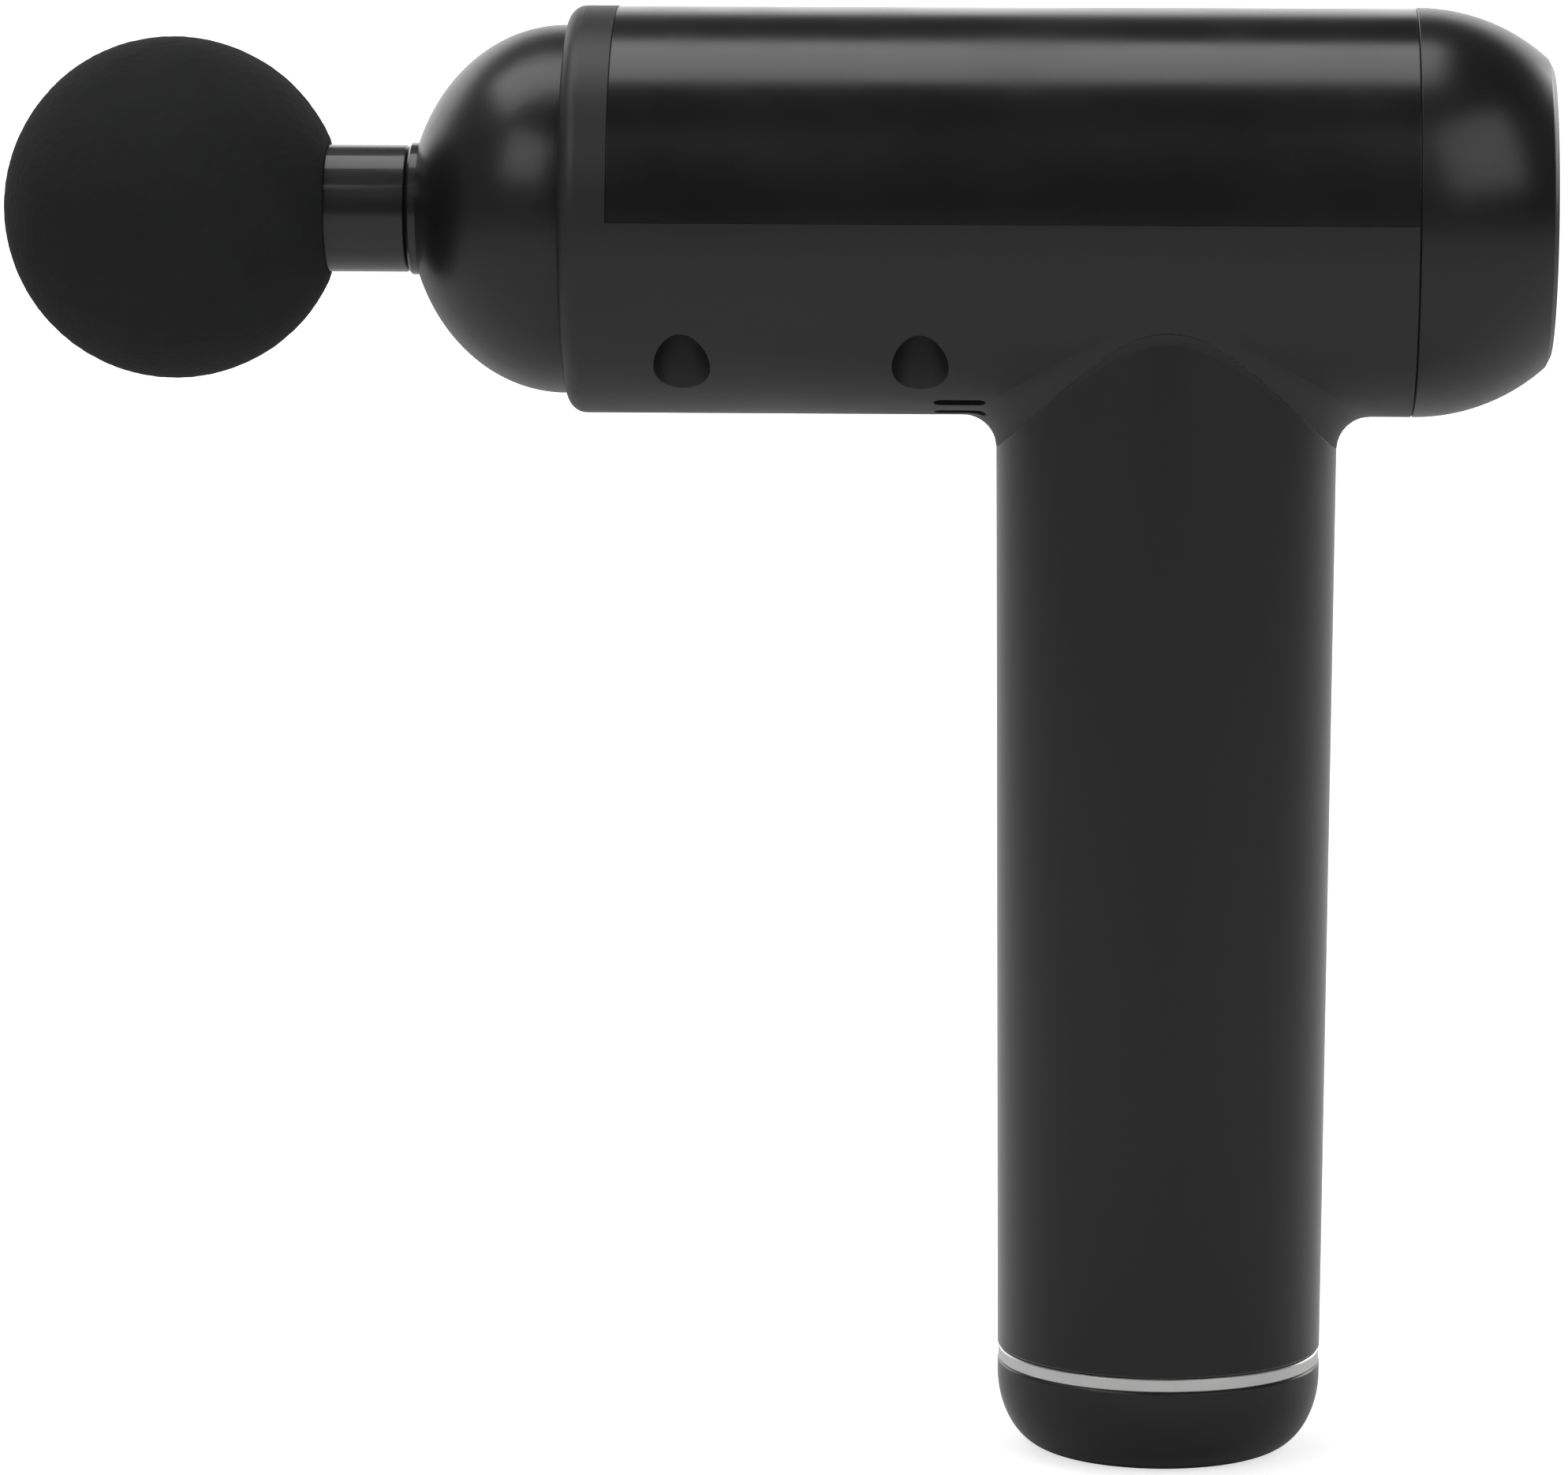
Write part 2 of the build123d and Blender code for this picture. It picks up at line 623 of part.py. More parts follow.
def base_cap():
    """Rounded foot with a lip into the handle, screw posts, and openings for the inlet and the switch."""
    top_r = handle_radius(RING_BOTTOM_Z)
    cap = revolve(Plane.XZ * make_face(base_outline()), Axis.Z) - base_hollow()
    cap += z_ring(BASE_LIP_R, BASE_LIP_BORE_R, RING_BOTTOM_Z - 1.5, RING_BOTTOM_Z + 3.5)
    rim = cap.edges().filter_by(lambda e: e.geom_type == GeomType.CIRCLE and abs(e.radius - top_r) < 0.01)
    cap = chamfer(rim.sort_by(Axis.Z)[-1], 0.25)
    for x in (-BASE_SCREW_X, BASE_SCREW_X):
        cap += z_rod(BASE_POST_R, BASE_FLOOR - 0.5, 10, x)
        cap -= z_rod(2 * BASE_SCREW_R, -CLEAR, BASE_SCREW_SEAT_Z, x)
        cap -= z_rod(BASE_SCREW_R, BASE_SCREW_SEAT_Z - 0.4, 11, x)
    cap -= z_rod(JACK_R + 0.1, -CLEAR, 4, 0, JACK_Y)
    cap -= switch_block(0.1 + SWITCH_RIM, -CLEAR, SWITCH_RIM_TOP_Z)
    return cap - switch_block(0, CLEAR, 4)


def base_screws():
    """Cross-head screws from under the base into the lower cell holder."""
    head_bottom = BASE_SCREW_SEAT_Z - 1.5
    screws = []
    for x in (-BASE_SCREW_X, BASE_SCREW_X):
        screw = z_rod(BASE_SCREW_R, BASE_SCREW_SEAT_Z, 16.5, x)
        screw += z_rod(2.5, head_bottom, BASE_SCREW_SEAT_Z, x)
        for half_x, half_y in ((1.6, 0.35), (0.35, 1.6)):
            screw -= block(x - half_x, x + half_x, -half_y, half_y, head_bottom - 0.1, head_bottom + 0.7)
        screws.append(screw)
    return group(screws)


def charge_jack():
    """Round inlet with a centre pin and two solder tags."""
    jack = z_rod(JACK_R, 0.5, JACK_TOP_Z, 0, JACK_Y)
    mouth = jack.edges().filter_by(GeomType.CIRCLE).sort_by(Axis.Z)[0]
    jack = chamfer(mouth, 0.4)
    jack -= z_rod(JACK_BORE_R, 0, JACK_BORE_TOP_Z, 0, JACK_Y)
    jack += z_rod(JACK_PIN_R, 1.4, JACK_BORE_TOP_Z + 0.5, 0, JACK_Y)
    for x in (-JACK_TAG_X, JACK_TAG_X):
        jack += block(x - 0.8, x + 0.8, JACK_Y - 1.2, JACK_Y + 1.2, JACK_TOP_Z, JACK_TOP_Z + 1)
    return jack


def jack_nut():
    return hexagon(7, 0, JACK_Y, BASE_FLOOR, 2.2) - z_rod(JACK_R, 0, JACK_TOP_Z, 0, JACK_Y)


def charge_leads():
    """Two leads from the inlet up beside the cells to the battery board."""
    tag_z = JACK_TOP_Z + 1
    turn_z = tag_z + 3
    leads = []
    for side in (-1, 1):
        tag = side * JACK_TAG_X
        up = side * LEAD_X
        points = [(tag, JACK_Y, tag_z), (tag, JACK_Y, turn_z)]
        points += [(up, JACK_Y, turn_z), (up, JACK_Y, BATTERY_BOARD_Z)]
        leads.append(wire(points, 0.7, 1.4))
    return group(leads)


def switch_body():
    """Rocker switch housing with a rim in the base's recess."""
    body = switch_block(SWITCH_RIM, SWITCH_RIM_TOP_Z - 1, SWITCH_RIM_TOP_Z)
    body += switch_block(0, SWITCH_RIM_TOP_Z, 13)
    body -= switch_block(-0.7, 0, 8)
    return body - y_rod(ROCKER_PIVOT_R + 0.05, SWITCH_Y - 4, SWITCH_Y + 4, 0, ROCKER_PIVOT_Z)


def switch_rocker():
    """Dished paddle on a cross pivot, at rest tilted to one side."""
    outline = [(-5, -2.5), (0, -1.9), (5, -2.5), (5, 0.2), (1.5, 3), (-1.5, 3), (-5, 0.2)]
    face = Plane.XZ * make_face(Polyline(*outline, close=True))
    rocker = Pos(0, ROCKER_HALF_Y, 0) * extrude(face, 2 * ROCKER_HALF_Y)
    pivot_half = ROCKER_HALF_Y + 0.6
    rocker += y_rod(ROCKER_PIVOT_R, -pivot_half, pivot_half, 0, 0)
    return Pos(0, SWITCH_Y, ROCKER_PIVOT_Z) * Rotation(0, -ROCKER_TILT, 0) * rocker


# Mechanism frame and guides

def motor_screw_places():
    return [(CRANK_X + x, y) for x, y in (polar(MOTOR_SCREW_PITCH_R, angle) for angle in (90, 210, 330))]


def guide_window(x, angle):
    """Lightening window through the guide tube's wall."""
    half = GUIDE_WINDOW / 2
    across, up = polar((GUIDE_R + GUIDE_BORE_R) / 2, angle)
    return up_block(x - half, x + half, across - half, across + half, up - half, up + half)


def mechanism_frame():
    """Cast plate on four damped feet, with the plunger's guide tube in front and the motor's seat behind."""
    frame = up_block(*PLATE_X, -PLATE_HALF_Y, PLATE_HALF_Y, PLATE_BOTTOM, PLATE_TOP)
    for x, y in FRAME_FEET:
        frame += up_rod(FOOT_R, PLATE_BOTTOM, PLATE_TOP, x, y)
        frame += up_block(x - ARM_HALF_T, x + ARM_HALF_T, min(0, y), max(0, y), PLATE_BOTTOM, PLATE_TOP)
    frame += x_rod(GUIDE_R, *GUIDE_X)
    for side in (-1, 1):
        frame += up_block(-72, -54, side * 13.5 - 1, side * 13.5 + 1, PLATE_BOTTOM, -3)
    frame -= x_rod(GUIDE_BORE_R, GUIDE_X[0] - CLEAR, GUIDE_X[1] + CLEAR)
    frame -= up_rod(MOTOR_TUBE_R + 0.2, -20, 0, CRANK_X)
    frame -= up_block(*LEAD_SLOT_X, -LEAD_SLOT_HALF_Y, LEAD_SLOT_HALF_Y, -20, 0)
    for x, y in FRAME_FEET:
        frame -= up_rod(DAMPER_WAIST_R, -20, 0, x, y)
    for x, y in motor_screw_places():
        frame -= up_rod(1.25, -20, 0, x, y)
    for x in GUIDE_WINDOW_X:
        for angle in (0, 90, 180, 270):
            frame -= guide_window(x, angle)
    return frame


def guide_bush(ends):
    return x_ring(GUIDE_BORE_R, PLUNGER_R + 0.05, *ends)


def front_bush():
    return guide_bush(FRONT_BUSH_X)


def rear_bush():
    return guide_bush(REAR_BUSH_X)


def frame_dampers():
    """Rubber grommets with a waist in the frame's feet."""
    rings = []
    for x, y in FRAME_FEET:
        ring = up_rod(DAMPER_R, DAMPER_BOTTOM, PLATE_BOTTOM, x, y)
        ring += up_rod(DAMPER_WAIST_R, PLATE_BOTTOM, PLATE_TOP, x, y)
        ring += up_rod(DAMPER_R, PLATE_TOP, DAMPER_TOP, x, y)
        rings.append(ring - up_rod(SCREW_R, -20, 0, x, y))
    return group(rings)


def frame_screws():
    screws = []
    for x, y in FRAME_FEET:
        screw = up_rod(SCREW_R, PLATE_BOTTOM - 8, DAMPER_TOP, x, y)
        screw += up_rod(3.6, DAMPER_TOP, DAMPER_TOP + 1.8, x, y)
        screws.append(screw - hexagon(1.4, x, y, AXIS_Z + DAMPER_TOP + 0.8, 1.5))
    return group(screws)


# Motor

def motor_base():
    """Flange under the plate and the tube that carries both bearings and the stator."""
    base = up_rod(MOTOR_FLANGE_R, MOTOR_FLANGE_UP, PLATE_BOTTOM, CRANK_X)
    base += up_rod(MOTOR_TUBE_R, MOTOR_TUBE_UP, MOTOR_FLANGE_UP + CLEAR, CRANK_X)
    base -= up_rod(MOTOR_TUBE_BORE_R, -40, 0, CRANK_X)
    base -= up_rod(BEARING_R, -18, PLATE_BOTTOM + CLEAR, CRANK_X)
    base -= up_rod(BEARING_R, MOTOR_TUBE_UP - CLEAR, MOTOR_TUBE_UP + BEARING_T, CRANK_X)
    for x, y in motor_screw_places():
        base -= up_rod(1.0, -18, 0, x, y)
    return base


def motor_bearings():
    bottoms = (MOTOR_TUBE_UP, -17)
    return group(up_ring(BEARING_R, SHAFT_R, bottom, bottom + BEARING_T, CRANK_X) for bottom in bottoms)


def around_motor(piece, step, i):
    """Turns a piece by its share of a turn and stands it on the motor's axis."""
    return Pos(CRANK_X, 0, 0) * Rotation(0, 0, step * i) * piece


def motor_stator():
    low, high = STATOR_UP
    core = up_ring(8.2, MOTOR_TUBE_R, low, high, CRANK_X)
    tooth = up_block(7.8, 12.4, -TOOTH_HALF_T, TOOTH_HALF_T, low, high)
    tooth += up_block(12.2, STATOR_R, -3.6, 3.6, low, high)
    for i in range(STATOR_TEETH):
        core += around_motor(tooth, 360 / STATOR_TEETH, i)
    return core & up_rod(14, low, high, CRANK_X)


def motor_windings():
    low, high = STATOR_UP
    coil = up_block(8.8, 11.8, -2.7, 2.7, low - 1.5, high + 1.5)
    coil -= up_block(8, 12.5, -TOOTH_HALF_T, TOOTH_HALF_T, low, high)
    return group(around_motor(coil, 360 / STATOR_TEETH, i) for i in range(STATOR_TEETH))


def motor_screws():
    screws = []
    for x, y in motor_screw_places():
        screw = up_rod(1.0, MOTOR_FLANGE_UP, PLATE_TOP, x, y)
        screws.append(screw + up_rod(1.9, PLATE_TOP, PLATE_TOP + 0.7, x, y))
    return group(screws)


def motor_leads():
    """Three phase leads from the stator, through the plate's rear slot, to the controller."""
    start_x = CRANK_X + 12.9
    corner_x = 20
    leads = []
    for y in (-2.2, 0, 2.2):
        points = [(start_x, y, AXIS_Z - 18.5), (start_x, y, AXIS_Z - 15.2), (corner_x, y, AXIS_Z - 15.2)]
        points += [(corner_x, y, AXIS_Z - 5), (CONTROLLER_X, y, AXIS_Z - 5)]
        leads.append(wire(points, 0.6, 1.3))
    return group(leads)


def rotor_bell():
    """Steel bell with vent holes, pressed on the shaft's lower end."""
    low, high = BELL_UP
    bell = up_rod(BELL_R, low, high, CRANK_X) - up_rod(BELL_BORE_R, low + 1.5, high + CLEAR, CRANK_X)
    for i in range(6):
        x, y = polar(10.5, 60 * i)
        bell -= up_rod(2.6, low - CLEAR, low + 2.5, CRANK_X + x, y)
    bell += up_rod(4.4, low, low + 2.2, CRANK_X)
    bell -= up_rod(SHAFT_R, low - CLEAR, -30, CRANK_X)
    outer = bell.edges().filter_by(lambda e: e.geom_type == GeomType.CIRCLE and e.radius > BELL_R - 0.1)
    return chamfer(outer.sort_by(Axis.Z)[0], 0.8)


def rotor_magnets():
    low, high = MAGNET_UP
    band = up_ring(BELL_BORE_R, MAGNET_INNER_R, low, high, CRANK_X)
    wedge = up_block(10, 20, -3.5, 3.5, low, high)
    return group(band & around_motor(wedge, 360 / MAGNET_COUNT, i) for i in range(MAGNET_COUNT))


def motor_shaft():
    return up_rod(SHAFT_R - RUNNING, -38, WHEEL_UP[1], CRANK_X)


# Crank and rod

def crank_wheel():
    """Wheel on the shaft, with a counterweight opposite the pin."""
    low, high = WHEEL_UP
    wheel = up_rod(WHEEL_R, low, high, CRANK_X)
    weight = up_ring(WEIGHT_R, 6, low, high - 0.8, CRANK_X)
    wheel += weight & up_block(CRANK_X - 16, CRANK_X - 3, -16, 16, -11, -5)
    wheel -= up_rod(SHAFT_R - RUNNING, low - CLEAR, high + CLEAR, CRANK_X)
    return wheel - up_rod(PIN_ROOT_R, low - CLEAR, high + CLEAR, PIN_X)


def crank_pin():
    """Stepped pin: root in the wheel, shoulder, journal for the rod's bearing, and neck for the clip."""
    pin = up_rod(PIN_ROOT_R, *WHEEL_UP, PIN_X) + up_rod(PIN_SHOULDER_R, WHEEL_UP[1], PIN_SHOULDER_UP, PIN_X)
    pin += up_rod(PIN_R - RUNNING, PIN_SHOULDER_UP, JOURNAL_TOP_UP, PIN_X)
    return pin + up_rod(CLIP_GROOVE_R, JOURNAL_TOP_UP, PIN_TOP_UP, PIN_X)


def crank_clip():
    clip = up_ring(4.2, CLIP_GROOVE_R, JOURNAL_TOP_UP + 0.1, PIN_TOP_UP - 0.5, PIN_X)
    return clip - up_block(PIN_X, PIN_X + 6, -1, 1, 3, 5)


def connecting_rod():
    """Two eyes joined by a shank with a pocket in each face."""
    rod = up_rod(BIG_END_OUTER_R, -ROD_HALF_T, ROD_HALF_T, PIN_X)
    rod += up_rod(SMALL_END_OUTER_R, -ROD_HALF_T, ROD_HALF_T, WRIST_X)
    rod += up_block(WRIST_X, PIN_X, -SHANK_HALF_Y, SHANK_HALF_Y, -SHANK_HALF_T, SHANK_HALF_T)
    for up in (-3, 1):
        rod -= up_block(WRIST_X + 8, PIN_X - 11, -2, 2, up, up + 2)
    rod -= up_rod(BIG_END_R, -4, 4, PIN_X)
    return rod - up_rod(SMALL_END_R, -4, 4, WRIST_X)


def big_end_bearing():
    return up_ring(BIG_END_R, PIN_R, -2.6, 2.6, PIN_X)


def small_end_bush():
    return up_ring(SMALL_END_R, WRIST_R, -ROD_HALF_T, ROD_HALF_T, WRIST_X)


# Plunger and massage head

def plunger():
    """Round slider with a fork for the rod behind and a socket for the head in front."""
    body = x_rod(PLUNGER_R, PLUNGER_FRONT_X, PLUNGER_BACK_X)
    rim = body.edges().filter_by(GeomType.CIRCLE).sort_by(Axis.X)[0]
    body = chamfer(rim, 0.4)
    ears_end = WRIST_X + 5.5
    slot_end = WRIST_X - 8
    body += up_block(PLUNGER_BACK_X - 1, ears_end, -FORK_HALF_Y, FORK_HALF_Y, -FORK_HALF_T, FORK_HALF_T)
    body -= up_block(slot_end, ears_end + CLEAR, -PLUNGER_R, PLUNGER_R, -FORK_SLOT_HALF_T, FORK_SLOT_HALF_T)
    body -= up_rod(WRIST_R, -9, 9, WRIST_X)
    body -= x_rod(SOCKET_R, PLUNGER_FRONT_X - CLEAR, SOCKET_BACK_X)
    return body - x_rod(PLUNGER_BORE_R, SOCKET_BACK_X + 6, PLUNGER_BACK_X - 6)


def wrist_pins():
    """Two stub pins in the fork's ears."""
    inner = FORK_SLOT_HALF_T + 0.1
    upper = up_rod(WRIST_R, inner, FORK_HALF_T, WRIST_X)
    lower = up_rod(WRIST_R, -FORK_HALF_T, -inner, WRIST_X)
    return group([upper, lower])


def head_stem():
    """Neck, with a plug for the plunger's socket behind and a flanged core inside the ball."""
    stem = x_rod(NECK_R, NECK_FRONT_X, PLUNGER_FRONT_X)
    rim = stem.edges().filter_by(GeomType.CIRCLE).sort_by(Axis.X)[-1]
    stem = chamfer(rim, 0.5)
    stem += x_rod(SOCKET_R - STEM_FIT, PLUNGER_FRONT_X - CLEAR, SOCKET_BACK_X - 1)
    tip = stem.edges().filter_by(GeomType.CIRCLE).sort_by(Axis.X)[-1]
    stem = chamfer(tip, 1.0)
    stem += x_rod(STEM_R, STEM_FLANGE_X[1], NECK_FRONT_X + CLEAR)
    stem += x_rod(STEM_FLANGE_R, *STEM_FLANGE_X)
    for x in O_RING_X:
        stem -= x_ring(STEM_R, O_RING_BORE_R, x - O_RING_HALF_T, x + O_RING_HALF_T)
    return stem


def head_ball():
    ball = Pos(BALL_X, 0, AXIS_Z) * Sphere(BALL_R)
    core = x_rod(NECK_R, NECK_FRONT_X, BALL_X + 40) + x_rod(STEM_R, STEM_FLANGE_X[1], NECK_FRONT_X + CLEAR)
    return ball - core - x_rod(STEM_FLANGE_R, *STEM_FLANGE_X)


def head_o_rings():
    outer = SOCKET_R - STEM_FIT / 2
    return group(x_ring(outer, O_RING_BORE_R, x - O_RING_HALF_T, x + O_RING_HALF_T) for x in O_RING_X)


# Battery

def cell_places():
    return [polar(CELL_PITCH_R, angle) for angle in CELL_ANGLES]


def battery_cells():
    cells = []
    for floor in CELL_FLOORS_Z:
        for x, y in cell_places():
            cells.append(z_rod(CELL_R, floor, floor + CELL_LENGTH, x, y))
    return group(cells)


def strip_heights():
    lower, upper = CELL_FLOORS_Z
    return [lower - STRIP_T, lower + CELL_LENGTH, upper - STRIP_T, upper + CELL_LENGTH]


def nickel_strip(z):
    """Three-armed strip that joins the ends of one layer of cells."""
    top = z + STRIP_T
    strip = z_rod(STRIP_R, z, top)
    for angle in CELL_ANGLES:
        x, y = polar(CELL_PITCH_R, angle)
        strip += Rotation(0, 0, angle) * block(0, CELL_PITCH_R, -3, 3, z, top)
        strip += z_rod(STRIP_R, z, top, x, y)
    return strip


def nickel_strips():
    return group(nickel_strip(z) for z in strip_heights())


def cell_holder(z0, z1):
    """Disc that locates the cells, cleared for cells, strips and charge leads."""
    radius = handle_radius(z0) - SLEEVE_T - WALL - 0.3
    disc = z_rod(radius, z0, z1)
    for floor in CELL_FLOORS_Z:
        for x, y in cell_places():
            disc -= z_rod(CELL_R, floor, floor + CELL_LENGTH, x, y)
    for x in (-LEAD_X, LEAD_X):
        disc -= z_rod(1.2, z0 - CLEAR, z1 + CLEAR, x, JACK_Y)
    for z in strip_heights():
        if z0 <= z <= z1:
            disc -= nickel_strip(z)
    return disc


def cell_holder_lower():
    """Lower holder, with the posts that take the base screws."""
    holder = cell_holder(*HOLDER_LOWER_Z)
    for x in (-BASE_SCREW_X, BASE_SCREW_X):
        holder += z_rod(BASE_POST_R, 10, HOLDER_LOWER_Z[0] + 0.5, x)
        holder -= z_rod(BASE_SCREW_R, 9, 17, x)
    return holder


def cell_holder_middle():
    return cell_holder(*HOLDER_MIDDLE_Z)


def cell_holder_upper():
    """Upper holder, with three posts under the battery board."""
    holder = cell_holder(*HOLDER_UPPER_Z)
    for angle in HOLDER_POST_ANGLES:
        x, y = polar(HOLDER_POST_PITCH_R, angle)
        holder += z_rod(HOLDER_POST_R, HOLDER_UPPER_Z[1] - 0.5, BATTERY_BOARD_Z, x, y)
    return holder


def battery_board():
    return z_rod(BATTERY_BOARD_R, BATTERY_BOARD_Z, BATTERY_BOARD_Z + BOARD_T)


def battery_leads():
    """Two leads from the battery board up through the plate's rear slot to the controller."""
    corner_x = 18.5
    turn_z = AXIS_Z - 2
    leads = []
    for y in (-5.5, 5.5):
        points = [(corner_x, y, BATTERY_BOARD_Z + BOARD_T), (corner_x, y, turn_z), (CONTROLLER_X, y, turn_z)]
        leads.append(wire(points, 0.9, 4))
    return group(leads)


MAKERS = (
    lower_housing, upper_cover, housing_screws, grip_sleeve, trim_ring,
    nose_dome, nose_seal,
    rear_cap, display_lens, display_module, display_board, display_screws, display_ribbon,
    controller_board, heat_sink, capacitor, controller_screws,
    base_cap, base_screws, charge_jack, jack_nut, charge_leads, switch_body, switch_rocker,
    mechanism_frame, front_bush, rear_bush, frame_dampers, frame_screws,
    motor_base, motor_bearings, motor_stator, motor_windings, motor_screws, motor_leads,
    rotor_bell, rotor_magnets, motor_shaft,
    crank_wheel, crank_pin, crank_clip, connecting_rod, big_end_bearing, small_end_bush,
    plunger, wrist_pins, head_stem, head_ball, head_o_rings,
    battery_cells, cell_holder_lower, cell_holder_middle, cell_holder_upper, nickel_strips,
    battery_board, battery_leads,
)

for make in MAKERS:
    export_step(make(), f"parts/{make.__name__}.step")
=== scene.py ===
import json
import math

import bpy
from mathutils import Matrix, Vector, noise


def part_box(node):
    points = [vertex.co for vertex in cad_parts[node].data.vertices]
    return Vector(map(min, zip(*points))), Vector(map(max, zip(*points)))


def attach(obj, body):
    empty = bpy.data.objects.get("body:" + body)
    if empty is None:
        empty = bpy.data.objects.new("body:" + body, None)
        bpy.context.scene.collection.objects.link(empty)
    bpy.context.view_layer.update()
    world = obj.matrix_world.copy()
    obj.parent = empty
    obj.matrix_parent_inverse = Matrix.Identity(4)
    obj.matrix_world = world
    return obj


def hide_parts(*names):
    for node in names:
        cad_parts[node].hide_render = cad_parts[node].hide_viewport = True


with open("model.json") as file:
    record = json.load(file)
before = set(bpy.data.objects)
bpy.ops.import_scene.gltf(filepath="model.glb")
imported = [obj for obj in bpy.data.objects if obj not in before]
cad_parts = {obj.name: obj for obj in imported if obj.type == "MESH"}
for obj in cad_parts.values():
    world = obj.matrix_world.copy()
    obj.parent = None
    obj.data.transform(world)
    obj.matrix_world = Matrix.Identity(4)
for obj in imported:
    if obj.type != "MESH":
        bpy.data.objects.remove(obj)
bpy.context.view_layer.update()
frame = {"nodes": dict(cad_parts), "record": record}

# Massage gun, in metres. +Z is up and the nose points to -X.
MM = 0.001
NODES = frame["nodes"]


# Places read from the frame

def middle(node):
    """Middle of a node's box."""
    low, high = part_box(node)
    return (low + high) / 2


def reach(node, axis):
    """Half the size of a node along one axis."""
    low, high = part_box(node)
    return (high[axis] - low[axis]) / 2


AXIS = middle("upper_cover").z - reach("upper_cover", 2)
BALL = middle("head_ball")
BALL_RADIUS = reach("head_ball", 1)
BARREL_MIDDLE = middle("upper_cover").x

# Foam skin
BALL_RINGS = 260
BALL_AROUND = 420
SKIN_DEPTH = 0.11 * MM
PORE_SIZE = 1.1 * MM
PORE_HEIGHT = 0.06 * MM
SWELL_SIZE = 9 * MM
SWELL_HEIGHT = 0.04 * MM
RIDGE_WIDTH = 0.35 * MM
RIDGE_HEIGHT = 0.06 * MM
LIP_WIDTH = 0.8 * MM
LIP_DROP = 0.5 * MM
NECK_STEP = 0.4 * MM
NECK_GAP = 0.15 * MM
MOUTH_DEPTH = 3 * MM

# Marks on the display
MARK_HALF_WIDTH = 0.35 * MM
MARK_RING = 0.66
MARK_SPACING = 16
MARK_SUNK = 0.05 * MM
MARK_PROUD = 0.01 * MM
SPEED_BARS = 5
CHARGE_DOTS = 4

# Light from the room
WALL_GLOW = 1.8
ROOM_GLOW = 0.1


# Material helpers

def shader(name):
    """New material with an empty tree but for its principled shader."""
    made = bpy.data.materials.new(name)
    made.use_nodes = True
    nodes = made.node_tree.nodes
    return made, nodes, made.node_tree.links, nodes["Principled BSDF"]


def object_noise(nodes, links, scale, detail=2.0, stretch=(1, 1, 1)):
    """Noise laid out in the object's own space, in metres."""
    place = nodes.new("ShaderNodeTexCoord")
    mapping = nodes.new("ShaderNodeMapping")
    mapping.inputs["Scale"].default_value = stretch
    made = nodes.new("ShaderNodeTexNoise")
    made.inputs["Scale"].default_value = scale
    made.inputs["Detail"].default_value = detail
    links.new(place.outputs["Object"], mapping.inputs["Vector"])
    links.new(mapping.outputs["Vector"], made.inputs["Vector"])
    return made


def spread(nodes, links, source, low, high, start=0.3, end=0.7):
    """Maps the middle of a noise to the range from low to high."""
    made = nodes.new("ShaderNodeMapRange")
    made.inputs["From Min"].default_value = start
    made.inputs["From Max"].default_value = end
    made.inputs["To Min"].default_value = low
    made.inputs["To Max"].default_value = high
    links.new(source, made.inputs["Value"])
    return made.outputs["Result"]


def tint(nodes, links, source, dark, light):
    """Mixes two colours by a factor."""
    made = nodes.new("ShaderNodeMix")
    made.data_type = "RGBA"
    made.inputs["A"].default_value = (*dark, 1)
    made.inputs["B"].default_value = (*light, 1)
    links.new(source, made.inputs["Factor"])
    return made.outputs["Result"]


def bump(nodes, links, height, strength, distance, rounding=None, below=None):
    """Bump of a height, over an optional rounded edge or an earlier bump."""
    made = nodes.new("ShaderNodeBump")
    made.inputs["Strength"].default_value = strength
    made.inputs["Distance"].default_value = distance
    links.new(height, made.inputs["Height"])
    if rounding:
        bevel = nodes.new("ShaderNodeBevel")
        bevel.samples = 4
        bevel.inputs["Radius"].default_value = rounding
        links.new(bevel.outputs["Normal"], made.inputs["Normal"])
    if below:
        links.new(below, made.inputs["Normal"])
    return made.outputs["Normal"]


def moulded(name, colour, rough, grain=0.12, specular=0.5):
    """Moulded plastic: fine spark-eroded grain, faint handling marks and softened edges."""
    smudge = 0.05
    made, nodes, links, out = shader(name)
    marks = object_noise(nodes, links, 1 / (28 * MM), 4.0)
    fine = object_noise(nodes, links, 1 / (0.25 * MM), 3.0)
    light = tuple(min(1, c * 1.25 + 0.002) for c in colour)
    gloss = spread(nodes, links, marks.outputs["Fac"], rough - smudge, rough + smudge)
    links.new(tint(nodes, links, marks.outputs["Fac"], colour, light), out.inputs["Base Color"])
    links.new(gloss, out.inputs["Roughness"])
    links.new(bump(nodes, links, fine.outputs["Fac"], grain, 0.05 * MM, 0.25 * MM), out.inputs["Normal"])
    out.inputs["Specular IOR Level"].default_value = specular
    return made


def soft_touch(name, colour, rough):
    """Soft-touch skin: fine grain, a faint powdery sheen and slow gloss changes from handling."""
    smudge = 0.05
    made, nodes, links, out = shader(name)
    marks = object_noise(nodes, links, 1 / (40 * MM), 4.0, (1, 1, 0.35))
    fine = object_noise(nodes, links, 1 / (0.2 * MM), 2.0)
    light = tuple(c * 1.3 for c in colour)
    links.new(tint(nodes, links, marks.outputs["Fac"], colour, light), out.inputs["Base Color"])
    gloss = spread(nodes, links, marks.outputs["Fac"], rough - smudge, rough + smudge)
    links.new(gloss, out.inputs["Roughness"])
    links.new(bump(nodes, links, fine.outputs["Fac"], 0.1, 0.04 * MM, 0.3 * MM), out.inputs["Normal"])
    out.inputs["Sheen Weight"].default_value = 1.0
    out.inputs["Sheen Roughness"].default_value = 0.3
    return made


